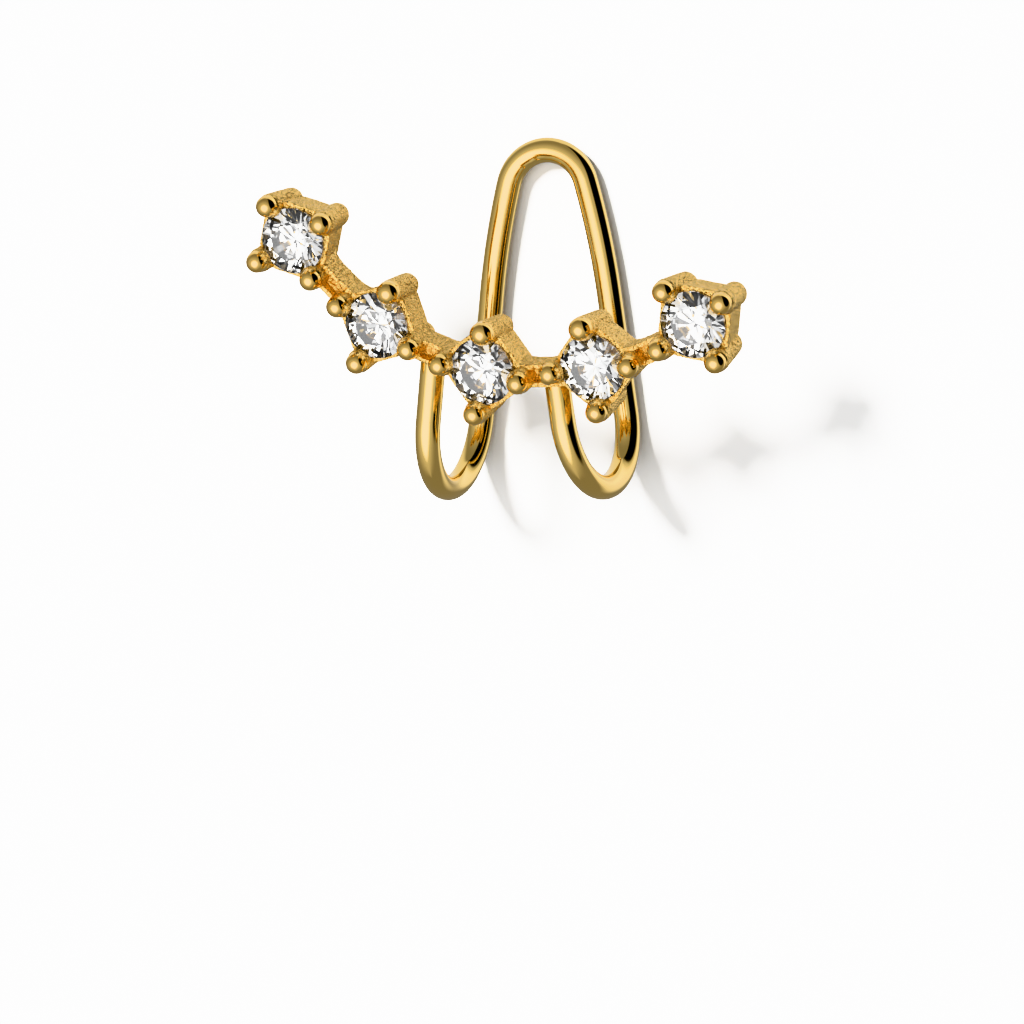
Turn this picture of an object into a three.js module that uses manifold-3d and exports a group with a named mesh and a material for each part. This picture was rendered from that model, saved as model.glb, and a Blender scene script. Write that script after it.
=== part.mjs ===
// Ear cuff: a curved row of five claw-set round stones on a bent round wire.
// Millimetres, +Z up. The cuff lies on its back: the arch and back legs of the wire
// are flat on the ground, the two loops rise from them, and the stones face up.
// The origin is the middle of the bottom of its bounding box.
import * as THREE from 'three';
import { ConvexGeometry } from 'three/addons/geometries/ConvexGeometry.js';
import { mergeVertices } from 'three/addons/utils/BufferGeometryUtils.js';
import Module from 'manifold-3d';

const wasm = await Module();
wasm.setup();

const degrees = Math.PI / 180;

// Wire. From the crown of the arch each side runs through a long bow into a straight back leg,
// then round a loop into a front leg, which is soldered to the back of a bridge.
const wireDiameter = 0.8;
const crownRadius = 1.38;
const crownLean = 15.5 * degrees;
const bowRadius = 25;
const legLean = 7.1 * degrees;
const legStraight = 3.84;
const loopDepth = 4.45;
const loopInset = 0.22;
const wireSides = 12;
const wireSteps = 100;

// Stones: round brilliants, held girdle down in the galleries
const stoneDiameter = 2.1;
const tableDiameter = 1.2;
const girdleThickness = 0.06;
const crownAngle = 34 * degrees;
const pavilionAngle = 41 * degrees;
const starReach = 0.52;
const lowerGirdleReach = 0.78;
const mainFacets = 8;

// Claws: round posts with domed ends that lean in towards the back
const clawDiameter = 0.74;
const clawGrip = 0.1;
const clawTipRise = 0.28;
const clawLength = 1.5;
const clawTaper = 0.18;
const clawsPerStone = 4;
const clawSides = 12;
const clawDomeSteps = 3;

// Galleries: the walled cups between the claws, flat sided with rounded corners, open at the back
const galleryLip = 0.1;
const galleryShoulder = 0.2;
const galleryDepth = 1.4;
const galleryTaper = 0.18;
const rimDrop = 0.1;
const boreDiameter = 1.3;
const seatClearance = 0.04;
const roundSides = 24;

// Bridges: short waisted links between the galleries, with a pocket in the front
const bridgeWidth = 0.73;
const bridgeThickness = 1;
const bridgeDrop = 0.14;
const bridgeSag = 0.24;
const bridgeFlare = 0.16;
const waistLength = 0.6;
const pocketLength = 1;
const pocketDepth = 0.35;
const pocketRail = 0.16;
const flareSteps = 4;

// Row of stones over the wire
const stonePitch = 3.74;
const rowTilt = 13.6 * degrees;
const crownToMiddleStone = 6.85;
const girdleAboveFrontLegs = 0.86;

// Corners closer than sameCorner are one corner, and slivers thinner than sliver, which joining
// the rounded pieces leaves, are smoothed away.
const sameCorner = 1e-5;
const sliver = 0.003;

// Each stone's bearing is the direction of the bridge that leads on from it, and claws is the
// direction of one of its four claws, both in the plane of the row.
const ROW = [
  { stone: 'stone_1', bearing: -48.1 * degrees, claws: 25.7 * degrees },
  { stone: 'stone_2', bearing: -24.3 * degrees, claws: 57.6 * degrees },
  { stone: 'stone_3', bearing: 0.9 * degrees, claws: 76.5 * degrees },
  { stone: 'stone_4', bearing: 20.6 * degrees, claws: 94.1 * degrees },
  { stone: 'stone_5', bearing: null, claws: 122.5 * degrees },
];

// Worked out from the sizes above
const middleStone = ROW.findIndex(({ stone }) => stone === 'stone_3');
const wireRadius = wireDiameter / 2;
const stoneRadius = stoneDiameter / 2;
const clawRadius = clawDiameter / 2;
const clawCircle = stoneRadius + clawRadius - clawGrip;
const bridgeFront = -bridgeDrop;
const bridgeBack = bridgeFront - bridgeThickness;
const bridgeUpperEdge = bridgeWidth / 2 - bridgeSag;
const bridgeLowerEdge = -bridgeWidth / 2 - bridgeSag;
const galleryBack = -rimDrop - galleryDepth;
const crownHeight = (stoneRadius - tableDiameter / 2) * Math.tan(crownAngle);

const gold = new THREE.MeshStandardMaterial({ color: 0xe0ae4a, metalness: 1, roughness: 0.18 });
const crystal = new THREE.MeshStandardMaterial({ color: 0xf4f6fa, metalness: 0, roughness: 0.03 });

// A closed geometry as a solid, placed by a matrix.
function solid(geometry, matrix = new THREE.Matrix4()) {
  const bare = geometry.clone().applyMatrix4(matrix);
  bare.deleteAttribute('normal');
  bare.deleteAttribute('uv');
  const merged = mergeVertices(bare, sameCorner);
  return new wasm.Manifold(new wasm.Mesh({
    numProp: 3,
    vertProperties: new Float32Array(merged.attributes.position.array),
    triVerts: new Uint32Array(merged.index.array),
  }));
}

// A solid back as a geometry.
function geometryOf(manifold) {
  const { vertProperties, triVerts } = manifold.getMesh();
  const geometry = new THREE.BufferGeometry();
  geometry.setAttribute('position', new THREE.BufferAttribute(vertProperties, 3));
  geometry.setIndex(new THREE.BufferAttribute(triVerts, 1));
  return geometry;
}

// All the solids joined into one.
function joined(solids) {
  return solids.reduce((whole, piece) => whole.add(piece));
}

// A regular outline whose flats touch the circle of the given radius, with a flat at angle 0.
function flatSidedShape(radius, sides) {
  const corner = radius / Math.cos(Math.PI / sides);
  const points = Array.from({ length: sides }, (_, index) => {
    const angle = (index + 0.5) * 2 * Math.PI / sides;
    return new THREE.Vector2(corner * Math.cos(angle), corner * Math.sin(angle));
  });
  return new THREE.Shape(points);
}

// A circular bend that leaves start along heading and turns towards inward.
class Bend extends THREE.Curve {
  constructor(start, heading, inward, radius, sweep) {
    super();
    Object.assign(this, { start, heading, inward, radius, sweep });
  }

  getPoint(t, target = new THREE.Vector3()) {
    const turned = t * this.sweep;
    return target.copy(this.start)
      .addScaledVector(this.heading, this.radius * Math.sin(turned))
      .addScaledVector(this.inward, this.radius * (1 - Math.cos(turned)));
  }
}

// The whole wire as one curve, from the left front leg over the crown to the right front leg.
// Both sides are given from the crown outwards.
class WirePath extends THREE.Curve {
  constructor(leftSide, rightSide) {
    super();
    Object.assign(this, { leftSide, rightSide });
  }

  getPoint(t, target = new THREE.Vector3()) {
    const leftLength = this.leftSide.getLength();
    const rightLength = this.rightSide.getLength();
    const fromCrown = t * (leftLength + rightLength) - leftLength;
    // The share of the right side can round to just over 1 at its end, where a curve has no point.
    return fromCrown < 0
      ? this.leftSide.getPoint(-fromCrown / leftLength, target)
      : this.rightSide.getPoint(Math.min(fromCrown / rightLength, 1), target);
  }

  // Frames rolled together, so that the section's flats are level in the arch.
  computeFrenetFrames(segments) {
    const frames = super.computeFrenetFrames(segments, false);
    const crown = Math.round(segments / 2);
    const up = new THREE.Vector3(0, 0, 1);
    const roll = Math.atan2(up.dot(frames.binormals[crown]), up.dot(frames.normals[crown]));
    frames.tangents.forEach((tangent, index) => {
      frames.normals[index].applyAxisAngle(tangent, roll);
      frames.binormals[index].applyAxisAngle(tangent, roll);
    });
    return frames;
  }
}

// Heading of a leg that leans outwards on the given side, and the direction it bows towards.
function legHeading(side, lean) {
  return new THREE.Vector3(side * Math.sin(lean), -Math.cos(lean), 0);
}

function legInward(side, lean) {
  return new THREE.Vector3(-side * Math.cos(lean), -Math.sin(lean), 0);
}

// Length of the front leg on a side, from the loop to the middle of the bridge that it meets.
function frontLegLength(side, loopEnd, bearing) {
  const slope = Math.tan(bearing) * Math.cos(rowTilt);
  const bridgeMiddle = (bridgeFront + bridgeBack) / 2;
  const bridgeHeight = -bridgeSag / Math.cos(bearing) * Math.cos(rowTilt) - bridgeMiddle * Math.sin(rowTilt);
  const rise = bridgeHeight + slope * loopEnd.x - loopEnd.y;
  return rise / (Math.cos(legLean) + slope * side * Math.sin(legLean));
}

// One side of the wire, from the crown to the end of its front leg.
function wireSide(side, bearing) {
  const top = new THREE.Vector3(0, crownToMiddleStone, wireRadius);
  const across = new THREE.Vector3(side, 0, 0);
  const down = new THREE.Vector3(0, -1, 0);
  const crown = new Bend(top, across, down, crownRadius, Math.PI / 2 - crownLean);
  const bow = new Bend(
    crown.getPoint(1), legHeading(side, crownLean), legInward(side, crownLean),
    bowRadius, crownLean - legLean,
  );
  const heading = legHeading(side, legLean);
  const backLeg = new THREE.LineCurve3(
    bow.getPoint(1), bow.getPoint(1).addScaledVector(heading, legStraight),
  );
  const overLoop = new THREE.Vector3(-side * loopInset, 0, loopDepth);
  const loop = new Bend(
    backLeg.v2, heading, overLoop.clone().normalize(), overLoop.length() / 2, Math.PI,
  );
  const loopEnd = loop.getPoint(1);
  const frontLeg = new THREE.LineCurve3(
    loopEnd, loopEnd.clone().addScaledVector(heading, -frontLegLength(side, loopEnd, bearing)),
  );
  const path = new THREE.CurvePath();
  path.curves = [crown, bow, backLeg, loop, frontLeg];
  return path;
}

// The wire, with domed ends.
function wire() {
  const path = new WirePath(
    wireSide(-1, ROW[middleStone - 1].bearing),
    wireSide(1, ROW[middleStone].bearing),
  );
  const run = new THREE.ExtrudeGeometry(flatSidedShape(wireRadius, wireSides), {
    extrudePath: path, steps: wireSteps, bevelEnabled: false,
  });
  const ends = [0, 1].map((t) => {
    const { x, y, z } = path.getPoint(t);
    const dome = new THREE.SphereGeometry(wireRadius, wireSides, wireSides / 2);
    return solid(dome, new THREE.Matrix4().makeTranslation(x, y, z));
  });
  return joined([solid(run), ...ends]);
}

// Places of the stones in the plane of the row, with the middle stone at its origin.
function stonePlaces() {
  const places = [new THREE.Vector2()];
  ROW.slice(0, -1).forEach(({ bearing }, index) => {
    const step = new THREE.Vector2(Math.cos(bearing), Math.sin(bearing));
    places.push(places[index].clone().addScaledVector(step, stonePitch));
  });
  const middle = places[middleStone].clone();
  return places.map((place) => place.sub(middle));
}

// A frame in the plane of the row: Z is the stones' normal, X is turned to the given angle.
function rowFrame(place, angle) {
  const plane = new THREE.Matrix4().makeRotationX(rowTilt)
    .setPosition(0, 0, wireRadius + loopDepth + girdleAboveFrontLegs);
  const turn = new THREE.Matrix4().makeRotationZ(angle).setPosition(place.x, place.y, 0);
  return plane.multiply(turn);
}

// A round or square cone along Z between two heights, wider at the front.
function cone(frontRadius, backRadius, front, back, sides) {
  return new THREE.CylinderGeometry(frontRadius, backRadius, front - back, sides)
    .rotateX(Math.PI / 2)
    .translate(0, 0, (front + back) / 2);
}

// The cup: a square cone with its corners at the claws, rounded off by a round one.
function gallery(frame) {
  const flat = stoneRadius + galleryLip;
  const shoulder = stoneRadius + galleryShoulder;
  const square = cone(
    flat * Math.SQRT2, (flat - galleryTaper) * Math.SQRT2, -rimDrop, galleryBack, clawsPerStone,
  );
  const round = cone(shoulder, shoulder - galleryTaper, -rimDrop, galleryBack, roundSides);
  return solid(square, frame).intersect(solid(round, frame));
}

// One claw, in a frame whose X points at it.
function claw(frame) {
  const tip = new THREE.Vector3(clawCircle, 0, clawTipRise);
  const back = new THREE.Vector3(clawCircle - clawTaper, 0, clawTipRise - clawLength);
  const along = tip.clone().sub(back);
  const post = new THREE.CapsuleGeometry(clawRadius, along.length(), clawDomeSteps, clawSides);
  const stand = new THREE.Quaternion()
    .setFromUnitVectors(new THREE.Vector3(0, 1, 0), along.clone().normalize());
  const place = new THREE.Matrix4()
    .compose(tip.add(back).multiplyScalar(0.5), stand, new THREE.Vector3(1, 1, 1));
  return solid(post, frame.clone().multiply(place));
}

// What the stone and its clearance take out of the metal, with the bore through the back.
function seat(frame) {
  const outwards = 1 / Math.cos(Math.PI / roundSides);
  const bore = boreDiameter / 2;
  const halfGirdle = girdleThickness / 2;
  const edge = stoneRadius + seatClearance;
  const crownGap = seatClearance / Math.cos(crownAngle);
  const pavilionGap = seatClearance / Math.cos(pavilionAngle);
  const top = halfGirdle + crownHeight + seatClearance;
  const tableEdge = tableDiameter / 2 + (crownGap - seatClearance) / Math.tan(crownAngle);
  const profile = [
    [0, galleryBack - clawDiameter],
    [bore, galleryBack - clawDiameter],
    [bore, -halfGirdle - pavilionGap - (stoneRadius - bore) * Math.tan(pavilionAngle)],
    [edge, -halfGirdle - pavilionGap + seatClearance * Math.tan(pavilionAngle)],
    [edge, halfGirdle + crownGap - seatClearance * Math.tan(crownAngle)],
    [tableEdge, top],
    [0, top],
  ];
  const points = profile.map(([radius, height]) => new THREE.Vector2(radius * outwards, height));
  const turned = new THREE.LatheGeometry(points, roundSides).rotateX(Math.PI / 2);
  return solid(turned, frame);
}

// A bridge, in a frame at its middle whose X runs along it, less its pocket.
function bridge(frame) {
  const reach = stonePitch / 2 - stoneRadius + clawGrip;
  const waist = waistLength / 2;
  const bend = (waist + reach) / 2;
  const outline = new THREE.Shape()
    .moveTo(-waist, bridgeUpperEdge)
    .quadraticCurveTo(-bend, bridgeUpperEdge, -reach, bridgeUpperEdge + bridgeFlare)
    .lineTo(-reach, bridgeLowerEdge)
    .lineTo(reach, bridgeLowerEdge)
    .lineTo(reach, bridgeUpperEdge + bridgeFlare)
    .quadraticCurveTo(bend, bridgeUpperEdge, waist, bridgeUpperEdge);
  const link = new THREE.ExtrudeGeometry(outline, {
    depth: bridgeThickness, curveSegments: flareSteps, bevelEnabled: false,
  }).translate(0, 0, bridgeBack);
  const pocketWidth = bridgeWidth - 2 * pocketRail;
  const pocket = new THREE.BoxGeometry(pocketLength, pocketWidth, 2 * pocketDepth)
    .translate(0, -bridgeSag, bridgeFront);
  return solid(link, frame).subtract(solid(pocket, frame));
}

// A round brilliant: table, star, main and girdle facets above, main and girdle facets below.
function brilliant() {
  const halfGirdle = girdleThickness / 2;
  const table = tableDiameter / 2;
  const step = 2 * Math.PI / mainFacets;
  const inFacet = Math.cos(step / 2);
  const starTip = table + (stoneRadius - table) * starReach;
  const lowerTip = stoneRadius * (1 - lowerGirdleReach);
  const heights = {
    table: halfGirdle + crownHeight,
    star: halfGirdle + (stoneRadius - starTip * inFacet) * Math.tan(crownAngle),
    lower: -halfGirdle - (stoneRadius - lowerTip * inFacet) * Math.tan(pavilionAngle),
    culet: -halfGirdle - stoneRadius * Math.tan(pavilionAngle),
  };
  const points = [new THREE.Vector3(0, 0, heights.culet)];
  const ring = (radius, height, shift) => {
    for (let index = 0; index < mainFacets; index += 1) {
      const angle = (index + shift) * step;
      points.push(new THREE.Vector3(radius * Math.cos(angle), radius * Math.sin(angle), height));
    }
  };
  ring(table, heights.table, 0);
  ring(starTip, heights.star, 0.5);
  [0, 0.5].forEach((shift) => {
    ring(stoneRadius, halfGirdle, shift);
    ring(stoneRadius, -halfGirdle, shift);
  });
  ring(lowerTip, heights.lower, 0.5);
  return new ConvexGeometry(points);
}

// All the metal, soldered into one piece, with the seats cut last.
function cuffFrame(places) {
  const settings = places.map((place, index) => rowFrame(place, ROW[index].claws));
  const bridges = places.slice(1).map((place, index) => {
    const middle = place.clone().add(places[index]).multiplyScalar(0.5);
    return bridge(rowFrame(middle, ROW[index].bearing));
  });
  const claws = settings.flatMap((frame) => Array.from({ length: clawsPerStone }, (_, index) => {
    const turn = new THREE.Matrix4().makeRotationZ(index * 2 * Math.PI / clawsPerStone);
    return claw(frame.clone().multiply(turn));
  }));
  const body = joined([...settings.map(gallery), ...bridges, ...claws, wire()]);
  const seats = settings.map(seat);
  return seats.reduce((metal, cut) => metal.subtract(cut), body).simplify(sliver);
}

const cuff = new THREE.Group();
const places = stonePlaces();

const frameMesh = new THREE.Mesh(geometryOf(cuffFrame(places)), gold);
frameMesh.name = 'cuff_frame';
cuff.add(frameMesh);

const cut = brilliant();
places.forEach((place, index) => {
  const stone = new THREE.Mesh(cut, crystal);
  stone.name = ROW[index].stone;
  rowFrame(place, ROW[index].claws).decompose(stone.position, stone.quaternion, stone.scale);
  cuff.add(stone);
});

// Puts the origin at the middle of the bottom of the bounding box.
const bounds = new THREE.Box3().setFromObject(cuff, true);
const centre = bounds.getCenter(new THREE.Vector3());
cuff.position.set(-centre.x, -centre.y, -bounds.min.z);

export default cuff;
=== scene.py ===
"""An ear cuff: a cast row of five claw-set stones on a bent wire clip, lying on a white sweep.

Pieces are built in millimetres in the frame's own axes, and turned to metres when they are done.
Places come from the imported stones; sizes are the fields of each class.
"""

import logging
import math
from collections.abc import Iterable
from dataclasses import dataclass, field
from enum import Enum

import bmesh
import bpy
import numpy as np
from mathutils import Matrix, Vector


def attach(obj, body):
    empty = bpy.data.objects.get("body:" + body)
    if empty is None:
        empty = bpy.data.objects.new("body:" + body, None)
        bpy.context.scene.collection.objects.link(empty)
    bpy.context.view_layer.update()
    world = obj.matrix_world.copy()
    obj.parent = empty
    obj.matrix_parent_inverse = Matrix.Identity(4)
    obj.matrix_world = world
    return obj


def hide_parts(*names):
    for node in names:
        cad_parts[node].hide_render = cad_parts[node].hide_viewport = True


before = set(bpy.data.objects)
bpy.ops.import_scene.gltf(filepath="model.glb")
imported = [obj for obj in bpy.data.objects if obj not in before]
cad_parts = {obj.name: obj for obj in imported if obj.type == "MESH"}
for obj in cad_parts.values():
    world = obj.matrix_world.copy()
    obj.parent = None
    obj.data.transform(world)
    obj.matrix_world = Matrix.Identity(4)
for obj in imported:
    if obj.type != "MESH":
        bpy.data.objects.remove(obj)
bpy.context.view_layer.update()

LOG = logging.getLogger("ear_cuff")
BODY = "root"
MM = 0.001
STONES = ("stone_1", "stone_2", "stone_3", "stone_4", "stone_5")
MIDDLE = 2
POLISH = "polish"

# Corners closer than this, in millimetres, are the same corner.
WELD = 1e-4

# The edges of one cross-section of the wire.
Ring = list[bmesh.types.BMEdge]


class Slot(Enum):
    """The record's material slots."""

    GOLD = "gold"
    STONE = "stone"


class Axis(Enum):
    """The frame's directions."""

    X = Vector((1, 0, 0))
    Y = Vector((0, 1, 0))
    Z = Vector((0, 0, 1))


def linear(hex_colour: str) -> tuple[float, float, float, float]:
    """Turn an sRGB hex colour to linear light.

    Args:
        hex_colour: six hex digits.

    Returns:
        Red, green, blue and an alpha of one.
    """
    shares = [int(hex_colour[at:at + 2], 16) / 255 for at in (0, 2, 4)]
    lit = [share / 12.92 if share <= 0.04045 else ((share + 0.055) / 1.055) ** 2.4 for share in shares]
    return (*lit, 1.0)


def add_node(
    tree: bpy.types.NodeTree, kind: str, inputs: dict | None = None, **settings: object
) -> bpy.types.Node:
    """Add a shader node with its settings and links.

    Args:
        tree: the tree that takes the node.
        kind: the node's type.
        inputs: values, or other nodes' outputs, by the input's name or number.
        settings: the node's own properties.

    Returns:
        The new node.
    """
    node = tree.nodes.new(kind)
    for name, value in settings.items():
        setattr(node, name, value)
    for name, value in (inputs or {}).items():
        if isinstance(value, bpy.types.NodeSocket):
            tree.links.new(value, node.inputs[name])
        else:
            node.inputs[name].default_value = value
    return node


def millimetres(tree: bpy.types.NodeTree) -> bpy.types.NodeSocket:
    """Give the object's own coordinates in millimetres, because a pattern's scale stops at 1000 per metre.

    Args:
        tree: the material's tree.

    Returns:
        The coordinates' socket.
    """
    place = add_node(tree, "ShaderNodeTexCoord").outputs["Object"]
    per_mm = (1 / MM,) * 3
    scaled = add_node(tree, "ShaderNodeVectorMath", {0: place, 1: per_mm}, operation="MULTIPLY")
    return scaled.outputs["Vector"]


def new_material(name: str) -> tuple[bpy.types.Material, bpy.types.NodeTree]:
    """Make an empty node material.

    Args:
        name: the material's name.

    Returns:
        The material and its node tree.
    """
    material = bpy.data.materials.new(name)
    material.use_nodes = True
    material.node_tree.nodes.clear()
    return material, material.node_tree


@dataclass(frozen=True)
class PolishedPlate:
    """Gold-plated brass wire, drawn and then buffed.

    Buffing leaves a mirror that is only broken by very shallow waves and hair-fine lines.
    """

    colour: str = "FADC94"
    roughness: float = 0.08
    wave: float = 0.9
    wave_height: float = 0.004 * MM

    def make(self) -> bpy.types.Material:
        """Make the material.

        Returns:
            The material.
        """
        material, tree = new_material("polished_plate")
        place = millimetres(tree)
        waves = add_node(tree, "ShaderNodeTexNoise", {"Vector": place, "Scale": 1 / self.wave, "Detail": 1.0})
        bump = add_node(tree, "ShaderNodeBump", {
            "Height": waves.outputs["Fac"], "Distance": self.wave_height, "Strength": 1.0,
        })
        metal = add_node(tree, "ShaderNodeBsdfPrincipled", {
            "Base Color": linear(self.colour), "Metallic": 1.0, "Roughness": self.roughness,
            "Normal": bump.outputs["Normal"],
        })
        add_node(tree, "ShaderNodeOutputMaterial", {"Surface": metal.outputs["BSDF"]})
        return material


@dataclass(frozen=True)
class CastPlate:
    """Gold-plated brass casting, with its claw tips burnished over the stones.

    The mould leaves a fine sugary grain on the walls, and the claw tips are burnished bright. Real grain
    is some hundredths of a millimetre wide, too fine to show, so it is drawn about twice as coarse.
    """

    colour: str = "F9D78E"
    polished_roughness: float = 0.05
    cast_roughness: float = 0.24
    grain: float = 0.11
    grain_height: float = 0.06 * MM
    pit: float = 0.35
    pit_height: float = 0.08 * MM

    def make(self) -> bpy.types.Material:
        """Make the material.

        Returns:
            The material.
        """
        material, tree = new_material("cast_plate")
        place = millimetres(tree)
        polish = add_node(tree, "ShaderNodeAttribute", attribute_name=POLISH).outputs["Fac"]
        rough = add_node(tree, "ShaderNodeMapRange", {
            "Value": polish, "To Min": self.cast_roughness, "To Max": self.polished_roughness,
        })
        left = add_node(tree, "ShaderNodeMath", {0: 1.0, 1: polish}, operation="SUBTRACT").outputs["Value"]
        grain = add_node(tree, "ShaderNodeTexNoise", {
            "Vector": place, "Scale": 1 / self.grain, "Detail": 3.0, "Roughness": 0.6,
        })
        pits = add_node(tree, "ShaderNodeTexNoise", {"Vector": place, "Scale": 1 / self.pit, "Detail": 2.0})
        coarse = add_node(tree, "ShaderNodeBump", {
            "Height": pits.outputs["Fac"], "Distance": self.pit_height, "Strength": left,
        })
        fine = add_node(tree, "ShaderNodeBump", {
            "Height": grain.outputs["Fac"], "Distance": self.grain_height, "Strength": left,
            "Normal": coarse.outputs["Normal"],
        })
        metal = add_node(tree, "ShaderNodeBsdfPrincipled", {
            "Base Color": linear(self.colour), "Metallic": 1.0, "Roughness": rough.outputs["Result"],
            "Normal": fine.outputs["Normal"],
        })
        add_node(tree, "ShaderNodeOutputMaterial", {"Surface": metal.outputs["BSDF"]})
        return material


@dataclass(frozen=True)
class CubicZirconia:
    """Colourless cubic zirconia, cut and polished: a high index gives it sharp bright and dark flashes."""

    colour: str = "FFFFFF"
    index: float = 2.16
    roughness: float = 0.0

    def make(self) -> bpy.types.Material:
        """Make the material.

        Returns:
            The material.
        """
        material, tree = new_material("cubic_zirconia")
        crystal = add_node(tree, "ShaderNodeBsdfPrincipled", {
            "Base Color": linear(self.colour), "Roughness": self.roughness, "IOR": self.index,
            "Transmission Weight": 1.0,
        })
        add_node(tree, "ShaderNodeOutputMaterial", {"Surface": crystal.outputs["BSDF"]})
        return material


@dataclass(frozen=True)
class PaperSweep:
    """Matt white background paper."""

    colour: str = "D6D6D6"
    roughness: float = 0.9

    def make(self) -> bpy.types.Material:
        """Make the material.

        Returns:
            The material.
        """
        material, tree = new_material("paper_sweep")
        paper = add_node(tree, "ShaderNodeBsdfPrincipled", {
            "Base Color": linear(self.colour), "Roughness": self.roughness, "Specular IOR Level": 0.0,
        })
        add_node(tree, "ShaderNodeOutputMaterial", {"Surface": paper.outputs["BSDF"]})
        return material


def object_of(name: str, shape: bmesh.types.BMesh) -> bpy.types.Object:
    """Put a finished bmesh into the scene as an object, and free it.

    Args:
        name: the object's name.
        shape: the bmesh.

    Returns:
        The object.
    """
    mesh = bpy.data.meshes.new(name)
    shape.to_mesh(mesh)
    shape.free()
    piece = bpy.data.objects.new(name, mesh)
    bpy.context.scene.collection.objects.link(piece)
    return piece


def settled(piece: bpy.types.Object) -> bpy.types.Object:
    """Apply a piece's modifiers to its mesh.

    Args:
        piece: the object with live modifiers.

    Returns:
        The same object, with none left.
    """
    before = piece.data
    seen = piece.evaluated_get(bpy.context.evaluated_depsgraph_get())
    piece.data = bpy.data.meshes.new_from_object(seen)
    piece.modifiers.clear()
    bpy.data.meshes.remove(before)
    return piece


def cut_away(piece: bpy.types.Object, cutter: bpy.types.Object) -> None:
    """Take the cutter's shape out of a piece, and delete the cutter.

    Args:
        piece: the object that is cut.
        cutter: a closed object.
    """
    cut = piece.modifiers.new("cut", "BOOLEAN")
    cut.operation = "DIFFERENCE"
    cut.solver = "MANIFOLD"
    cut.object = cutter
    settled(piece)
    remove(cutter)


def remove(piece: bpy.types.Object) -> None:
    """Delete an object and its mesh.

    Args:
        piece: the object.
    """
    mesh = piece.data
    bpy.data.objects.remove(piece)
    bpy.data.meshes.remove(mesh)


def turned(profile: Iterable[tuple[float, float]], steps: int) -> bmesh.types.BMesh:
    """Spin a profile that starts and ends on the Z axis into a closed solid.

    Args:
        profile: pairs of radius and height.
        steps: sides of the full turn.

    Returns:
        The solid.
    """
    solid = bmesh.new()
    corners = [solid.verts.new((radius, 0, height)) for radius, height in profile]
    edges = [solid.edges.new(pair) for pair in zip(corners, corners[1:])]
    bmesh.ops.spin(
        solid, geom=corners + edges, cent=(0, 0, 0), axis=Axis.Z.value, angle=2 * math.pi,
        steps=steps, use_merge=True,
    )
    bmesh.ops.remove_doubles(solid, verts=solid.verts, dist=WELD)
    bmesh.ops.recalc_face_normals(solid, faces=solid.faces)
    return solid


def bisected(solid: bmesh.types.BMesh, point: Vector, normal: Vector) -> None:
    """Cut off what lies past a plane, and close the cut.

    Args:
        solid: the bmesh that is cut.
        point: a point of the plane.
        normal: the direction that is cut off.
    """
    cut = bmesh.ops.bisect_plane(
        solid, geom=solid.verts[:] + solid.edges[:] + solid.faces[:],
        plane_co=point, plane_no=normal, clear_outer=True,
    )
    edges = [part for part in cut["geom_cut"] if isinstance(part, bmesh.types.BMEdge)]
    if edges:
        bmesh.ops.edgenet_fill(solid, edges=edges)


def dress(piece: bpy.types.Object, material: bpy.types.Material, crease: float) -> None:
    """Turn a piece to metres, shade it, and give it its material and body.

    Args:
        piece: the finished object, in millimetres.
        material: its material.
        crease: edges that turn by more than this angle stay sharp, in radians.
    """
    piece.data.transform(Matrix.Scale(MM, 4))
    piece.data.materials.clear()
    piece.data.materials.append(material)
    piece.data.shade_smooth()
    piece.data.set_sharp_from_angle(angle=crease)
    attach(piece, BODY)
    LOG.info("%s: %d faces", piece.name, len(piece.data.polygons))


@dataclass
class Cut:
    """The sizes of the stones' round brilliant cut."""

    diameter: float = 2.1
    table: float = 1.2
    girdle: float = 0.06
    crown_angle: float = math.radians(34)
    pavilion_angle: float = math.radians(41)
    star_reach: float = 0.52
    lower_reach: float = 0.78
    mains: int = 8
    round_sides: int = 64

    @property
    def radius(self) -> float:
        """Half the girdle's diameter."""
        return self.diameter / 2

    @property
    def table_height(self) -> float:
        """Height of the table over the middle of the girdle."""
        return self.girdle / 2 + (self.radius - self.table / 2) * math.tan(self.crown_angle)


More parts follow.
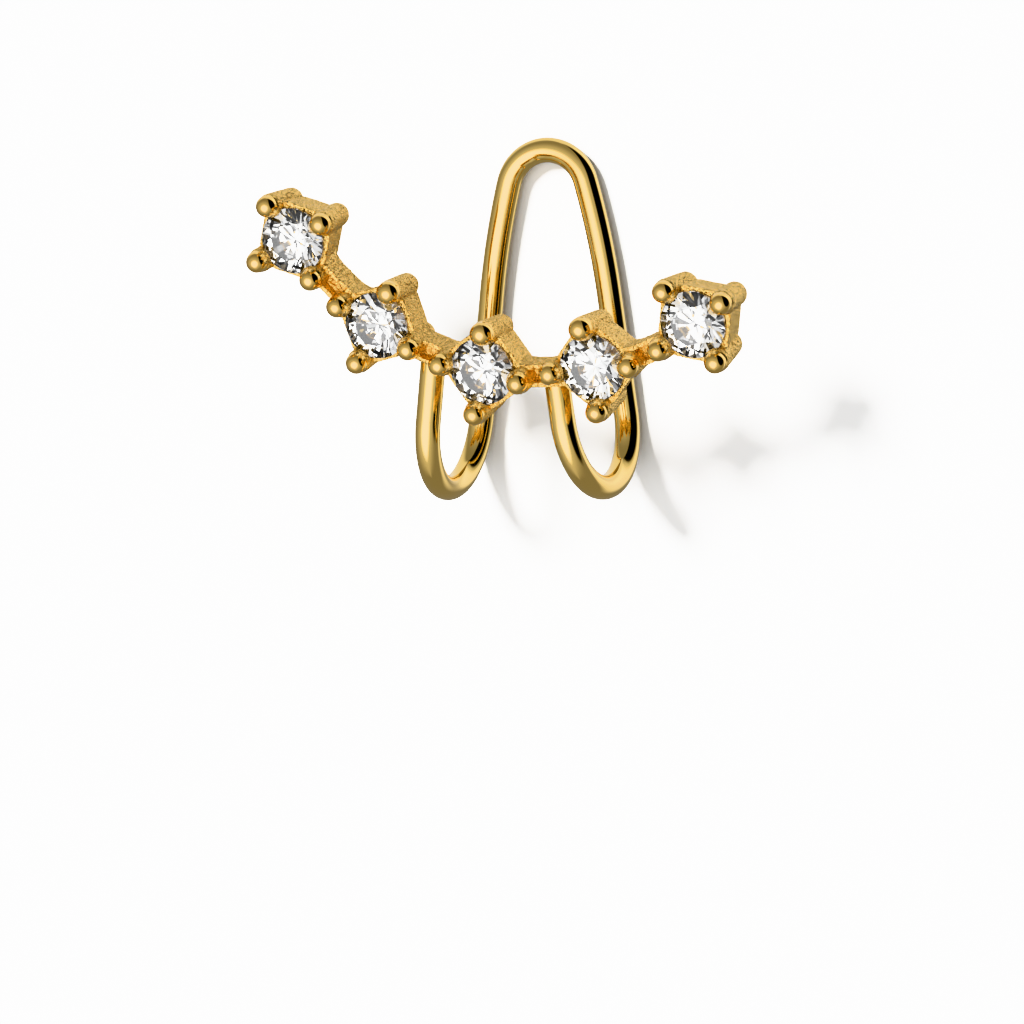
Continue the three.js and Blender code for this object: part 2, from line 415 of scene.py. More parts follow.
@dataclass
class Row:
    """The plane of the row, and where each stone sits in it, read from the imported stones."""

    cut: Cut
    tilt: float = math.radians(13.6)
    claws: tuple[float, ...] = tuple(math.radians(angle) for angle in (25.7, 57.6, 76.5, 94.1, 122.5))
    centres: list[Vector] = field(default_factory=list)

    def __post_init__(self) -> None:
        """Find the middle of each stone's girdle."""
        self.centres = [self.girdle_centre(name) for name in STONES]

    @property
    def normal(self) -> Vector:
        """The direction that the stones face."""
        return Matrix.Rotation(self.tilt, 3, "X") @ Axis.Z.value

    def girdle_centre(self, name: str) -> Vector:
        """Work out where a stone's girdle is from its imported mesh.

        Args:
            name: the stone's node.

        Returns:
            The middle of the girdle, in millimetres.
        """
        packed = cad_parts[name].data.vertices
        corners = {tuple(round(part / MM, 4) for part in vertex.co) for vertex in packed}
        points = [Vector(corner) for corner in corners]
        on_axis = sum(points, Vector()) / len(points)
        table = max(point.dot(self.normal) for point in points)
        return on_axis + self.normal * (table - self.cut.table_height - on_axis.dot(self.normal))

    def place(self, centre: Vector, angle: float) -> Matrix:
        """Give a frame in the row's plane.

        Args:
            centre: its origin.
            angle: how far its X is turned from the frame's X, in the row's plane.

        Returns:
            The matrix from the local frame to the frame.
        """
        tilted = Matrix.Rotation(self.tilt, 4, "X")
        return Matrix.Translation(centre) @ tilted @ Matrix.Rotation(angle, 4, "Z")

    def bridge_place(self, index: int) -> Matrix:
        """Give the frame at the middle of a bridge, with X along the bridge.

        Args:
            index: the number of the stone before the bridge.

        Returns:
            The matrix from the local frame to the frame.
        """
        start, end = self.centres[index], self.centres[index + 1]
        step = Matrix.Rotation(-self.tilt, 3, "X") @ (end - start)
        return self.place((start + end) / 2, math.atan2(step.y, step.x))


@dataclass
class Stone:
    """One round brilliant, cut from a round blank, facet by facet, as a cutter does it."""

    cut: Cut
    crease: float = math.radians(1)

    def facet(self, solid: bmesh.types.BMesh, place: Vector, slope: float, turn: float) -> None:
        """Grind one facet.

        Args:
            solid: the blank.
            place: a point of the facet in the plane of the turn, as radius and height.
            slope: the facet's angle from the girdle plane, below it if negative.
            turn: its angle round the axis.
        """
        upright = math.copysign(math.cos(slope), slope)
        normal = Vector((abs(math.sin(slope)), 0, upright))
        spun = Matrix.Rotation(turn, 3, "Z")
        bisected(solid, spun @ place, spun @ normal)

    def blank(self) -> bmesh.types.BMesh:
        """Make the round blank that the facets are cut from.

        Returns:
            The blank, on the stone's axis.
        """
        solid = bmesh.new()
        bmesh.ops.create_cone(
            solid, cap_ends=True, segments=self.cut.round_sides, radius1=self.cut.radius,
            radius2=self.cut.radius, depth=2 * self.cut.radius,
        )
        return solid

    def build(self) -> bmesh.types.BMesh:
        """Cut the stone: table, mains, stars and halves above, mains and halves below.

        Returns:
            The stone, with the middle of its girdle at the origin.
        """
        cut = self.cut
        solid = self.blank()
        step = 2 * math.pi / cut.mains
        half_girdle = cut.girdle / 2
        edge = Vector((cut.radius, 0, half_girdle))
        under = Vector((cut.radius, 0, -half_girdle))
        table = Vector((cut.table / 2, 0, cut.table_height))
        bisected(solid, table, Axis.Z.value)
        star_radius = cut.table / 2 + (cut.radius - cut.table / 2) * cut.star_reach
        half_turn = step / 4
        upper_slope = self.half_slope(cut.crown_angle, star_radius, half_turn)
        lower_radius = cut.radius * (1 - cut.lower_reach)
        lower_slope = self.half_slope(cut.pavilion_angle, lower_radius, half_turn)
        for index in range(cut.mains):
            main = index * step
            between = main + step / 2
            self.facet(solid, edge, cut.crown_angle, main)
            self.facet(solid, under, -cut.pavilion_angle, main)
            self.facet(solid, *self.star(star_radius), between)
            for side in (-half_turn, half_turn):
                self.facet(solid, edge, upper_slope, between + side)
                self.facet(solid, under, -lower_slope, between + side)
        bmesh.ops.remove_doubles(solid, verts=solid.verts, dist=WELD)
        bmesh.ops.recalc_face_normals(solid, faces=solid.faces)
        return solid

    def half_slope(self, main_slope: float, tip_radius: float, half_turn: float) -> float:
        """Slope of a girdle facet that meets its neighbour where two mains meet at tip_radius.

        Args:
            main_slope: the mains' slope.
            tip_radius: how far from the axis the girdle facets' tips are.
            half_turn: the angle from the facet's middle to its tip.

        Returns:
            The facet's slope.
        """
        step = math.pi / self.cut.mains
        drop = (self.cut.radius - tip_radius * math.cos(step)) * math.tan(main_slope)
        return math.atan(drop / (self.cut.radius - tip_radius * math.cos(half_turn)))

    def star(self, tip_radius: float) -> tuple[Vector, float]:
        """Give a star facet's place and slope, between a side of the table and the mains' meeting point.

        Args:
            tip_radius: how far from the axis its tip is.

        Returns:
            A point of the facet, and its slope.
        """
        cut = self.cut
        step = math.pi / cut.mains
        table_side = cut.table / 2 * math.cos(step)
        tip_height = cut.girdle / 2 + (cut.radius - tip_radius * math.cos(step)) * math.tan(cut.crown_angle)
        slope = math.atan((cut.table_height - tip_height) / (tip_radius - table_side))
        return Vector((table_side, 0, cut.table_height)), slope


@dataclass
class Setting:
    """A four-claw setting: a walled cup between the claws, open at the back, with a half bridge each side."""

    row: Row
    cut: Cut
    claw_radius: float = 0.37
    claw_post: float = 0.385
    claw_dome: float = 0.345
    bold_dome: float = 0.372
    dome_rise: float = 0.05
    collar_drop: float = 0.1
    collar_height: float = 0.17
    claw_grip: float = 0.1
    claw_rise: float = 0.28
    claw_length: float = 1.5
    claw_taper: float = 0.18
    claw_count: int = 4
    lip: float = 0.1
    shoulder: float = 0.2
    depth: float = 1.4
    taper: float = 0.18
    rim_drop: float = 0.1
    bore: float = 1.3
    clearance: float = 0.04
    sides: int = 64
    dome_splits: int = 4
    grit: float = 0.026
    rounding: int = 6
    smoothing: float = 0.5
    soft: float = 0.05
    grain_height: float = 0.007
    crease: float = math.radians(35)

    @property
    def claw_circle(self) -> float:
        """How far a claw's tip is from the stone's axis."""
        return self.cut.radius + self.claw_radius - self.claw_grip

    def claw_line(self, index: int) -> tuple[Vector, Vector]:
        """Give the two ends of a claw's axis.

        Args:
            index: which claw.

        Returns:
            The tip and the back, in the setting's own frame.
        """
        turn = Matrix.Rotation(index * 2 * math.pi / self.claw_count, 3, "Z")
        tip = Vector((self.claw_circle, 0, self.claw_rise))
        back = Vector((self.claw_circle - self.claw_taper, 0, self.claw_rise - self.claw_length))
        return turn @ tip, turn @ back

    def dome(self, setting: int, claw: int) -> float:
        """Give a dome's radius: the uppermost claws of the three middle settings have the boldest."""
        ends = (0, len(self.row.centres) - 1)
        return self.claw_dome if claw or setting in ends else self.bold_dome

    def add_claw(self, solid: bmesh.types.BMesh, index: int, dome: float) -> None:
        """Add one claw: a round post with a soft collar, and the burnished dome that rises from it.

        Args:
            solid: the bmesh that takes it, in the setting's own frame.
            index: which claw.
            dome: the dome's radius.
        """
        tip, back = self.claw_line(index)
        along = tip - back
        upright = along.to_track_quat("Z", "Y").to_matrix().to_4x4()
        shoulder = tip - along.normalized() * self.collar_drop
        bmesh.ops.create_cone(
            solid, cap_ends=True, segments=self.sides, radius1=self.claw_post,
            radius2=self.claw_post, depth=(shoulder - back).length,
            matrix=Matrix.Translation((shoulder + back) / 2) @ upright,
        )
        flattened = Matrix.Diagonal((1, 1, self.collar_height / self.claw_post, 1))
        domes = (
            (dome, Matrix.Translation(tip + along.normalized() * self.dome_rise)),
            (self.claw_post, Matrix.Translation(shoulder) @ upright @ flattened),
            (self.claw_post, Matrix.Translation(back)),
        )
        for radius, matrix in domes:
            bmesh.ops.create_icosphere(
                solid, subdivisions=self.dome_splits, radius=radius, matrix=matrix,
            )

    def cup(self) -> bmesh.types.BMesh:
        """Make the cup: a round cone with four flats between the claws.

        Returns:
            The cup, in the setting's own frame.
        """
        solid = bmesh.new()
        outer = self.cut.radius + self.shoulder
        middle = Matrix.Translation((0, 0, -self.rim_drop - self.depth / 2))
        bmesh.ops.create_cone(
            solid, cap_ends=True, segments=self.sides, radius1=outer - self.taper, radius2=outer,
            depth=self.depth, matrix=middle,
        )
        flat = Vector((self.cut.radius + self.lip, 0, -self.rim_drop))
        lean = Vector((self.depth, 0, -self.taper)).normalized()
        for index in range(self.claw_count):
            turn = Matrix.Rotation((index + 0.5) * 2 * math.pi / self.claw_count, 3, "Z")
            bisected(solid, turn @ flat, turn @ lean)
        return solid

    def seat(self) -> bmesh.types.BMesh:
        """Make what is cut out for the stone: its own shape with clearance, and the bore at the back.

        Returns:
            The cutter, in the setting's own frame.
        """
        cut, gap, bore = self.cut, self.clearance, self.bore / 2
        half_girdle = cut.girdle / 2
        edge = cut.radius + gap
        crown_gap = gap / math.cos(cut.crown_angle)
        pavilion_gap = gap / math.cos(cut.pavilion_angle)
        crown, pavilion = math.tan(cut.crown_angle), math.tan(cut.pavilion_angle)
        back = -self.rim_drop - self.depth - 2 * self.claw_radius
        top = cut.table_height + gap
        return turned([
            (0, back),
            (bore, back),
            (bore, -half_girdle - pavilion_gap - (cut.radius - bore) * pavilion),
            (edge, -half_girdle - pavilion_gap + gap * pavilion),
            (edge, half_girdle + crown_gap - gap * crown),
            (cut.table / 2 + (crown_gap - gap) / crown, top),
            (0, top),
        ], self.sides)

    def casting(self, name: str, index: int, bridge: "Bridge") -> bpy.types.Object:
        """Fuse a cup, its claws and its bridges, with the soft inner corners that a casting has.

        Args:
            name: the object's name.
            index: which setting.
            bridge: the bridges' shape.

        Returns:
            The object, with its seat cut and its bridges cut at their middles.
        """
        place = self.row.place(self.row.centres[index], self.row.claws[index])
        solid = self.cup()
        for claw in range(self.claw_count):
            self.add_claw(solid, claw, self.dome(index, claw))
        bmesh.ops.transform(solid, matrix=place, verts=solid.verts)
        piece = object_of(name, solid)
        for link in self.links(index):
            bridge.add_to(piece, self.row.bridge_place(link))
        fuse = piece.modifiers.new("fuse", "REMESH")
        fuse.mode = "VOXEL"
        fuse.voxel_size = self.grit
        settled(piece)
        self.round_off(piece)
        self.roughen(piece, index, place.inverted())
        seat = self.seat()
        bmesh.ops.transform(seat, matrix=place, verts=seat.verts)
        cut_away(piece, object_of("seat", seat))
        self.part_from_neighbours(piece, index)
        shares = self.burnished(piece, index, place.inverted())
        piece.data.attributes.new(POLISH, "FLOAT", "POINT").data.foreach_set("value", shares)
        return piece

    def links(self, index: int) -> list[int]:
        """Give the numbers of the bridges that meet a setting."""
        return [link for link in (index - 1, index) if 0 <= link < len(self.row.centres) - 1]

    def round_off(self, piece: bpy.types.Object) -> None:
        """Smooth a fused piece, so that its inner corners are filled and its edges soft.

        Args:
            piece: the object.
        """
        solid = bmesh.new()
        solid.from_mesh(piece.data)
        for _ in range(self.rounding):
            bmesh.ops.smooth_vert(
                solid, verts=solid.verts, factor=self.smoothing,
                use_axis_x=True, use_axis_y=True, use_axis_z=True,
            )
        solid.to_mesh(piece.data)
        solid.free()

    def part_from_neighbours(self, piece: bpy.types.Object, index: int) -> None:
        """Cut a piece's bridges at their middles, where the next piece takes over.

        Args:
            piece: the object.
            index: which setting.
        """
        solid = bmesh.new()
        solid.from_mesh(piece.data)
        for link in self.links(index):
            place = self.row.bridge_place(link)
            outwards = place.to_3x3() @ Axis.X.value
            if link < index:
                outwards.negate()
            bisected(solid, place.translation, outwards)
        solid.to_mesh(piece.data)
        solid.free()

    def burnished(self, piece: bpy.types.Object, index: int, to_local: Matrix) -> np.ndarray:
        """Work out how far each point is burnished: all of a claw's dome, and nothing past its soft edge.

        Args:
            piece: the object.
            index: which setting.
            to_local: the matrix from the frame to the setting's own frame.

        Returns:
            A share for each vertex, from nothing to one.
        """
        points = np.empty(len(piece.data.vertices) * 3)
        piece.data.vertices.foreach_get("co", points)
        turn, shift = np.array(to_local.to_3x3()), np.array(to_local.translation)
        points = points.reshape(-1, 3) @ turn.T + shift
        past = []
        for claw in range(self.claw_count):
            tip, back = self.claw_line(claw)
            middle = tip + (tip - back).normalized() * self.dome_rise
            past.append(np.linalg.norm(points - np.array(middle), axis=1) - self.dome(index, claw))
        return 1 - np.clip(np.min(past, axis=0) / self.soft, 0, 1)

    def roughen(self, piece: bpy.types.Object, index: int, to_local: Matrix) -> None:
        """Give a piece the grain of its mould, by moving each point in or out, except where it is burnished.

        Args:
            piece: the object.
            index: which setting.
            to_local: the matrix from the frame to the setting's own frame.
        """
        count = len(piece.data.vertices)
        points, normals = np.empty(count * 3), np.empty(count * 3)
        piece.data.vertices.foreach_get("co", points)
        piece.data.vertices.foreach_get("normal", normals)
        heights = np.random.default_rng(index).normal(0, self.grain_height, count)
        heights *= 1 - self.burnished(piece, index, to_local)
        moved = points.reshape(-1, 3) + normals.reshape(-1, 3) * heights[:, None]
        piece.data.vertices.foreach_set("co", moved.ravel())
        piece.data.update()


@dataclass
class Bridge:
    """A short waisted link between two settings, with a pocket in its front."""

    pitch: float
    inner: float
    width: float = 0.73
    thickness: float = 1.0
    drop: float = 0.14
    sag: float = 0.24
    flare: float = 0.16
    waist: float = 0.6
    pocket_length: float = 1.0
    pocket_depth: float = 0.35
    rail: float = 0.16
    flare_steps: int = 8

    def outline(self) -> list[tuple[float, float]]:
        """Give the bridge's outline: a flared upper edge and a straight lower one.

        Returns:
            Pairs of X and Y in the bridge's frame.
        """
        reach = self.pitch / 2 - self.inner
        waist = self.waist / 2
        bend = (waist + reach) / 2
        upper = self.width / 2 - self.sag
        lower = -self.width / 2 - self.sag
        flared = []
        for step in range(self.flare_steps + 1):
            t = step / self.flare_steps
            along = (1 - t) ** 2 * waist + 2 * t * (1 - t) * bend + t * t * reach
            flared.append((along, upper + t * t * self.flare))
        mirrored = [(-along, height) for along, height in reversed(flared)]
        return [(-reach, lower), (reach, lower), *reversed(flared), *reversed(mirrored)]

    def add_to(self, piece: bpy.types.Object, place: Matrix) -> None:
        """Add a bridge with its pocket to a piece's mesh.

        Args:
            piece: the object.
            place: the bridge's frame.
        """
        solid = bmesh.new()
        front = solid.faces.new([solid.verts.new((x, y, -self.drop)) for x, y in self.outline()])
        grown = bmesh.ops.extrude_face_region(solid, geom=[front], use_keep_orig=True)
        moved = [part for part in grown["geom"] if isinstance(part, bmesh.types.BMVert)]
        bmesh.ops.translate(solid, verts=moved, vec=(0, 0, -self.thickness))
        bmesh.ops.recalc_face_normals(solid, faces=solid.faces)
        link = object_of("bridge", solid)
        pocket = bmesh.new()
        size = Vector((self.pocket_length, self.width - 2 * self.rail, 2 * self.pocket_depth))
        middle = Matrix.Translation((0, -self.sag, -self.drop))
        bmesh.ops.create_cube(pocket, size=1, matrix=middle @ Matrix.Diagonal(size).to_4x4())
        cut_away(link, object_of("pocket", pocket))
        link.data.transform(place)
        solid = bmesh.new()
        solid.from_mesh(piece.data)
        solid.from_mesh(link.data)
        solid.to_mesh(piece.data)
        solid.free()
        remove(link)


@dataclass
class Wire:
    """The bent wire: arch, back legs, loops and front legs, spun and drawn out of one ring."""

    row: Row
    bridge: Bridge
    radius: float = 0.4
    crown_radius: float = 1.38
    crown_lean: float = math.radians(15.5)
    bow_radius: float = 25.0
    leg_lean: float = math.radians(7.1)
    leg_straight: float = 3.84
    loop_depth: float = 4.45
    loop_inset: float = 0.22
    crown_above: float = 6.85
    end_short: float = 0.12
    sides: int = 40
    crown_steps: int = 28
    bow_steps: int = 20
    loop_steps: int = 56
    leg_steps: int = 6
    dome_steps: int = 8
    crease: float = math.radians(60)

    def spin(
        self, solid: bmesh.types.BMesh, ring: Ring, centre: Vector, axis: Vector, angle: float, steps: int
    ) -> Ring:
        """Carry a ring round an arc.

        Args:
            solid: the wire so far.
            ring: the ring's edges.
            centre: the arc's centre.
            axis: the axis that it turns round.
            angle: how far it turns.
            steps: in how many steps.

        Returns:
            The edges of the ring at the arc's end.
        """
        spun = bmesh.ops.spin(
            solid, geom=ring, cent=centre, axis=axis, angle=angle, steps=steps,
        )
        return [part for part in spun["geom_last"] if isinstance(part, bmesh.types.BMEdge)]

    def draw(self, solid: bmesh.types.BMesh, ring: Ring, step: Vector, grow: float = 1.0) -> Ring:
        """Draw a ring out along a step, and scale it about its own middle.

        Args:
            solid: the wire so far.
            ring: the ring's edges.
            step: how far it moves.
            grow: the new ring's size as a share of the old one's.

        Returns:
            The edges of the new ring.
        """
        drawn = bmesh.ops.extrude_edge_only(solid, edges=ring)
        corners = [part for part in drawn["geom"] if isinstance(part, bmesh.types.BMVert)]
        bmesh.ops.translate(solid, verts=corners, vec=step)
        middle = sum((corner.co for corner in corners), Vector()) / len(corners)
        bmesh.ops.scale(solid, verts=corners, vec=(grow,) * 3, space=Matrix.Translation(-middle))
        fresh = set(corners)
        return [
            part for part in drawn["geom"]
            if isinstance(part, bmesh.types.BMEdge) and set(part.verts) <= fresh
        ]

    def middle_of(self, ring: Ring) -> Vector:
        """Give the middle of a ring of edges."""
        corners = dict.fromkeys(corner for edge in ring for corner in edge.verts)
        return sum((corner.co for corner in corners), Vector()) / len(corners)

    def front_length(self, start: Vector, upwards: Vector, link: int) -> float:
        """Work out how long a front leg is, from its loop to the middle of the bridge that it meets.

        Args:
            start: the end of the loop.
            upwards: the leg's direction.
            link: the bridge's number.

        Returns:
            The leg's length.
        """
        place = self.row.bridge_place(link)
        across = place.to_3x3() @ Axis.Y.value
        middle = place @ Vector((0, -self.bridge.sag, -self.bridge.drop - self.bridge.thickness / 2))
        return (middle - start).dot(across) / upwards.dot(across) - self.end_short

    def add_side(self, solid: bmesh.types.BMesh, side: int, link: int) -> None:
        """Add one side of the wire, from the crown to the end of its front leg.

        Args:
            solid: the wire so far.
            side: 1 for the right side, -1 for the left.
            link: the number of the bridge that the front leg meets.
        """
        middle = self.row.centres[MIDDLE]
        crown = Vector((middle.x, middle.y + self.crown_above, self.radius))
        face = Matrix.Translation(crown) @ Matrix.Rotation(math.pi / 2, 4, "Y")
        made = bmesh.ops.create_circle(solid, segments=self.sides, radius=self.radius, matrix=face)
        ring = list(dict.fromkeys(edge for corner in made["verts"] for edge in corner.link_edges))
        turn = math.pi / 2 - self.crown_lean
        ring = self.spin(
            solid, ring, crown - Axis.Y.value * self.crown_radius, Axis.Z.value, -side * turn,
            self.crown_steps,
        )
        _, inward = self.directions(side, self.crown_lean)
        centre = self.middle_of(ring) + inward * self.bow_radius
        ring = self.spin(
            solid, ring, centre, Axis.Z.value, -side * (self.crown_lean - self.leg_lean), self.bow_steps,
        )
        heading, _ = self.directions(side, self.leg_lean)
        for _ in range(self.leg_steps):
            ring = self.draw(solid, ring, heading * (self.leg_straight / self.leg_steps))
        over = Vector((-side * self.loop_inset, 0, self.loop_depth))
        centre = self.middle_of(ring) + over / 2
        ring = self.spin(solid, ring, centre, heading.cross(over).normalized(), math.pi, self.loop_steps)
        start = self.middle_of(ring)
        length = self.front_length(start, -heading, link)
        for _ in range(self.leg_steps):
            ring = self.draw(solid, ring, -heading * (length / self.leg_steps))
        self.add_dome(solid, ring, -heading)

    def directions(self, side: int, lean: float) -> tuple[Vector, Vector]:
        """Give the directions of a leaning leg.

        Args:
            side: 1 for the right side, -1 for the left.
            lean: the leg's angle from Y.

        Returns:
            Its heading, away from the crown, and the direction of its inner side.
        """
        heading = Vector((side * math.sin(lean), -math.cos(lean), 0))
        inward = Vector((-side * math.cos(lean), -math.sin(lean), 0))
        return heading, inward

    def add_dome(self, solid: bmesh.types.BMesh, ring: Ring, forwards: Vector) -> None:
        """Close a leg's end with a dome.

        Args:
            solid: the wire so far.
            ring: the edges of the leg's end.
            forwards: the leg's direction.
        """
        before = 1.0
        for index in range(1, self.dome_steps):
            angle = index / self.dome_steps * math.pi / 2
            step = self.radius * (math.sin(angle) - math.sin(angle - math.pi / 2 / self.dome_steps))
            ring = self.draw(solid, ring, forwards * step, math.cos(angle) / before)
            before = math.cos(angle)
        bmesh.ops.edgenet_fill(solid, edges=ring)

    def build(self) -> bmesh.types.BMesh:
        """Build both sides and join them at the crown.

        Returns:
            The wire, closed at both ends.
        """
        solid = bmesh.new()
        self.add_side(solid, -1, MIDDLE - 1)
        self.add_side(solid, 1, MIDDLE)
        bmesh.ops.remove_doubles(solid, verts=solid.verts, dist=WELD)
        bmesh.ops.recalc_face_normals(solid, faces=solid.faces)
        return solid


@dataclass
class Softbox:
    """A bright or dark part of the studio, as seen from the cuff.

    The direction is given from the camera's point of view, in degrees to the right of the camera
    and above it. The strength is added to the ambient light, and a dark card's is negative. The blur
    is the share of the window's size over which its edge fades, to each side.
    """

    right: float
    up: float
    half_width: float
    half_height: float
    strength: float
    blur: float = 0.15


@dataclass
class Studio:
    """A white paper sweep, soft light all round, and the camera at the photograph's angle."""

    row: Row
    azimuth: float = math.radians(25.0)
    elevation: float = math.radians(1.638)
    roll: float = math.radians(-1.633)
    distance: float = 160.0
    pixels_per_mm: float = 32.3
    image: int = 1024
    middle_stone_pixel: tuple[float, float] = (481.996, 371.527)
    sensor: float = 36.0
    paper: float = 4000.0
    ambient: float = 0.36
    boxes: tuple[Softbox, ...] = (
        Softbox(right=-25, up=-23, half_width=34, half_height=32, strength=2.8, blur=0.35),
        Softbox(right=-25, up=-24, half_width=72, half_height=64, strength=0.4, blur=0.5),
        Softbox(right=62, up=30, half_width=32, half_height=48, strength=-1.0, blur=0.25),
        Softbox(right=180, up=48, half_width=85, half_height=44, strength=0.7, blur=0.4),
        Softbox(right=-180, up=48, half_width=60, half_height=44, strength=0.7, blur=0.4),
        Softbox(right=122, up=20, half_width=14, half_height=42, strength=0.9, blur=0.5),
    )
    patch_scale: float = 6.0
    patch_share: float = 0.47
    patch_edge: float = 0.03
    patch_depth: float = 0.94
    stone_fill: float = 0.4
    gamma: float = 0.82
    key_direction: tuple[float, float, float] = (-0.5, 0.6, 1.0)
    key_strength: float = 28.0
    key_width: float = math.radians(17)

    def camera_axes(self) -> tuple[Vector, Vector, Vector]:
        """Give the directions to the camera's right, its top, and from the cuff to the camera.

        Returns:
            Three unit vectors, in that order.
        """
        back = Vector((
            math.sin(self.azimuth) * math.cos(self.elevation),
            math.sin(self.elevation),
            math.cos(self.azimuth) * math.cos(self.elevation),
        ))
        right = Vector((math.cos(self.azimuth), 0, -math.sin(self.azimuth)))
        top = back.cross(right)
        return (
            right * math.cos(self.roll) + top * math.sin(self.roll),
            top * math.cos(self.roll) - right * math.sin(self.roll),
            back,
        )

    def place_camera(self) -> None:
        """Put up the camera, aimed so that the middle stone falls on its pixel."""
        right, top, back = self.camera_axes()
        stone = self.row.centres[MIDDLE]
        aside = (self.image / 2 - self.middle_stone_pixel[0]) / self.pixels_per_mm
        below = (self.image / 2 - self.middle_stone_pixel[1]) / self.pixels_per_mm
        aim = stone + right * aside - top * below
        stand = stone + back * self.distance
        out = (stand - aim).normalized()
        across = top.cross(out).normalized()
        upright = out.cross(across)
        lens = bpy.data.cameras.new("camera")
        lens.sensor_width = self.sensor
        lens.lens = self.sensor * self.pixels_per_mm * self.distance / self.image
        lens.clip_start = MM
        camera = bpy.data.objects.new("camera", lens)
        bpy.context.scene.collection.objects.link(camera)
        turned_to = Matrix((across, upright, out)).transposed().to_4x4()
        camera.matrix_world = Matrix.Translation(stand * MM) @ turned_to
        bpy.context.scene.camera = camera

    def lay_paper(self) -> None:
        """Lay the paper that the cuff rests on."""
        sheet = bmesh.new()
        bmesh.ops.create_grid(sheet, x_segments=1, y_segments=1, size=self.paper * MM / 2)
        paper = object_of("paper_sweep", sheet)
        paper.data.materials.append(PaperSweep().make())
        paper.visible_glossy = False
        paper.visible_transmission = False

    def light(self) -> None:
        """Light the studio with a world of soft boxes and dark cards."""
        world = bpy.data.worlds.new("studio")
        bpy.context.scene.world = world
        world.use_nodes = True
        tree = world.node_tree
        tree.nodes.clear()
        towards = add_node(tree, "ShaderNodeTexCoord").outputs["Generated"]
        right, top, back = [
            add_node(
                tree, "ShaderNodeVectorMath", {0: towards, 1: axis}, operation="DOT_PRODUCT",
            ).outputs["Value"]
            for axis in self.camera_axes()
        ]
        aside = add_node(tree, "ShaderNodeMath", {0: right, 1: back}, operation="ARCTAN2").outputs["Value"]
        above = add_node(tree, "ShaderNodeMath", {0: top}, operation="ARCSINE").outputs["Value"]
        total: bpy.types.NodeSocket | float = self.ambient
        for box in self.boxes:
            total = add_node(tree, "ShaderNodeMath", {
                0: self.window(tree, aside, above, box), 1: box.strength, 2: total,
            }, operation="MULTIPLY_ADD").outputs["Value"]
        seen = add_node(tree, "ShaderNodeLightPath").outputs["Is Transmission Ray"]
        fill = add_node(tree, "ShaderNodeMath", {
            0: seen, 1: self.stone_fill, 2: total,
        }, operation="MULTIPLY_ADD").outputs["Value"]
        lit = add_node(tree, "ShaderNodeMath", {0: fill, 1: 0.0}, operation="MAXIMUM").outputs["Value"]
        kept = self.flashes(tree, towards, seen)
        lit = add_node(tree, "ShaderNodeMath", {0: lit, 1: kept}, operation="MULTIPLY").outputs["Value"]
        light = add_node(tree, "ShaderNodeBackground", {"Color": (1, 1, 1, 1), "Strength": lit})
        add_node(tree, "ShaderNodeOutputWorld", {"Surface": light.outputs["Background"]})

    def flashes(
        self, tree: bpy.types.NodeTree, towards: bpy.types.NodeSocket, seen: bpy.types.NodeSocket
    ) -> bpy.types.NodeSocket:
        """Darken patches of the studio for what is seen through the stones, so that their facets flash.

        Args:
            tree: the world's tree.
            towards: the direction that is looked in.
            seen: one for what is seen through a stone.

        Returns:
            The share of the light that is kept.
        """
        patches = add_node(tree, "ShaderNodeTexNoise", {
            "Vector": towards, "Scale": self.patch_scale, "Detail": 1.0,
        })
        dark = add_node(tree, "ShaderNodeMapRange", {
            "Value": patches.outputs["Fac"], "From Min": self.patch_share,
            "From Max": self.patch_share + self.patch_edge, "To Min": self.patch_depth, "To Max": 0.0,
        })
        lost = add_node(tree, "ShaderNodeMath", {
            0: seen, 1: dark.outputs["Result"],
        }, operation="MULTIPLY").outputs["Value"]
        return add_node(tree, "ShaderNodeMath", {0: 1.0, 1: lost}, operation="SUBTRACT").outputs["Value"]

    def hang_key(self) -> None:
        """Hang the soft key light that whitens the paper and throws the shadow down to the right."""
        lamp = bpy.data.lights.new("key", "SUN")
        lamp.energy = self.key_strength
        lamp.angle = self.key_width
        key = bpy.data.objects.new("key", lamp)
        key.visible_glossy = False
        key.visible_transmission = False
        key.rotation_euler = Vector(self.key_direction).to_track_quat("Z", "Y").to_euler()
        bpy.context.scene.collection.objects.link(key)

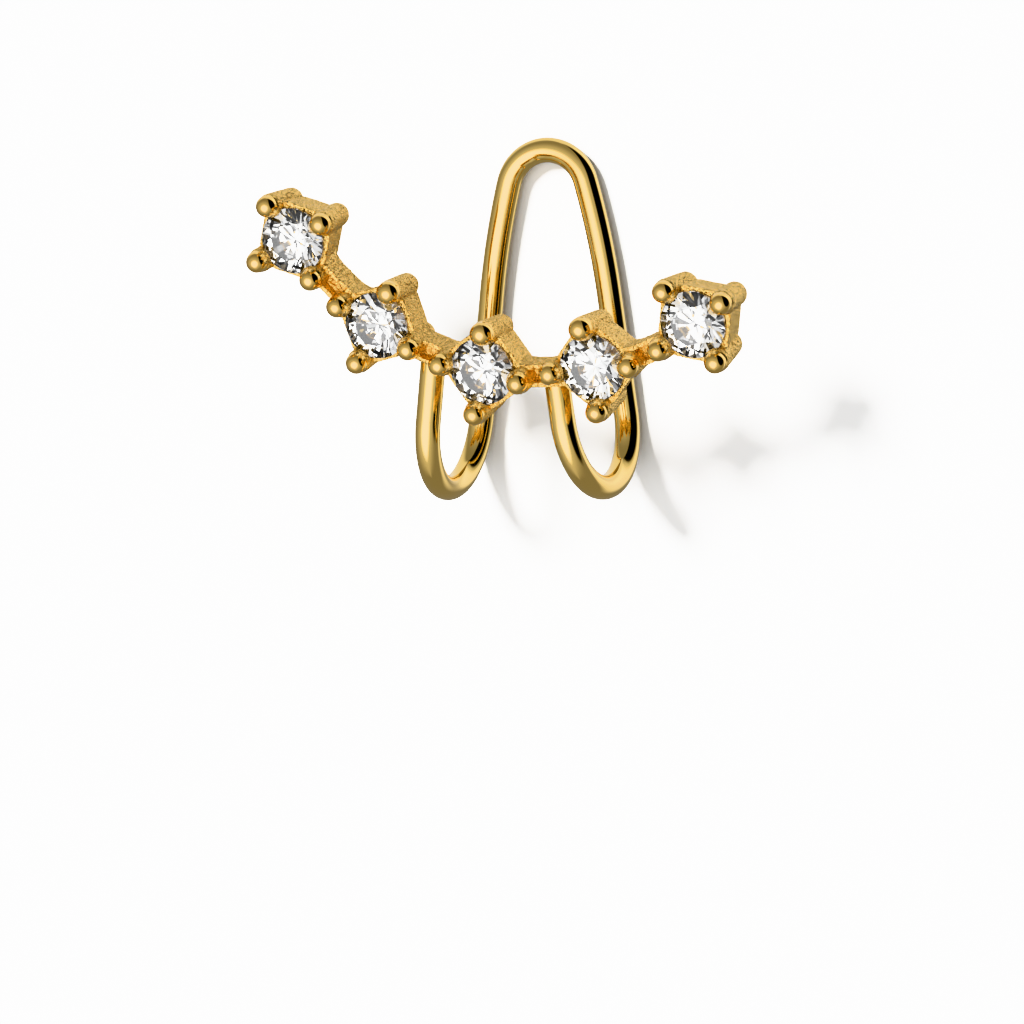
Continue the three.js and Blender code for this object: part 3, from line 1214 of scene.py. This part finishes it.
    def window(
        self, tree: bpy.types.NodeTree, aside: bpy.types.NodeSocket, above: bpy.types.NodeSocket, box: Softbox
    ) -> bpy.types.NodeSocket:
        """Make an oval window with a soft edge.

        Args:
            tree: the world's tree.
            aside: how far a direction is to the right of the camera, in radians.
            above: how far it is above the camera, in radians.
            box: where the window is.

        Returns:
            A socket that is one inside the window and nothing outside it.
        """
        shares = []
        for angle, middle, half in ((aside, box.right, box.half_width), (above, box.up, box.half_height)):
            off = add_node(tree, "ShaderNodeMath", {0: angle, 1: math.radians(middle)}, operation="SUBTRACT")
            shares.append(add_node(tree, "ShaderNodeMath", {
                0: off.outputs["Value"], 1: math.radians(half),
            }, operation="DIVIDE").outputs["Value"])
        offset = add_node(tree, "ShaderNodeCombineXYZ", {"X": shares[0], "Y": shares[1]}).outputs["Vector"]
        away = add_node(tree, "ShaderNodeVectorMath", {0: offset}, operation="LENGTH").outputs["Value"]
        return add_node(tree, "ShaderNodeMapRange", {
            "Value": away, "From Min": 1 - box.blur, "From Max": 1 + box.blur, "To Min": 1.0, "To Max": 0.0,
        }, interpolation_type="SMOOTHSTEP").outputs["Result"]

    def set_tones(self) -> None:
        """Show colours as a product photograph does, with white paper at full white."""
        view = bpy.context.scene.view_settings
        view.view_transform = "Khronos PBR Neutral"
        view.look = "None"
        view.gamma = self.gamma


def main() -> None:
    """Build the cuff and its studio."""
    logging.basicConfig(level=logging.INFO, format="%(name)s %(message)s")
    cut = Cut()
    row = Row(cut)
    setting = Setting(row, cut)
    pitch = (row.centres[1] - row.centres[0]).length
    bridge = Bridge(pitch, cut.radius - setting.claw_grip)
    polished = PolishedPlate().make()
    cast = CastPlate().make()
    zirconia = CubicZirconia().make()

    clip = Wire(row, bridge)
    wire = object_of("wire", clip.build())
    dress(wire, polished, clip.crease)
    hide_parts("cuff_frame")
    for index, stone_name in enumerate(STONES):
        casting = setting.casting(f"setting_{index + 1}", index, bridge)
        dress(casting, cast, setting.crease)
        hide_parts("cuff_frame")
        stone = Stone(cut)
        gem = stone.build()
        place = row.place(row.centres[index], row.claws[index])
        bmesh.ops.transform(gem, matrix=place, verts=gem.verts)
        brilliant = object_of(f"brilliant_{index + 1}", gem)
        dress(brilliant, zirconia, stone.crease)
        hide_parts(stone_name)

    studio = Studio(row)
    studio.place_camera()
    studio.lay_paper()
    studio.light()
    studio.hang_key()
    studio.set_tones()
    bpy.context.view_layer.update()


if __name__ == "__main__":
    main()
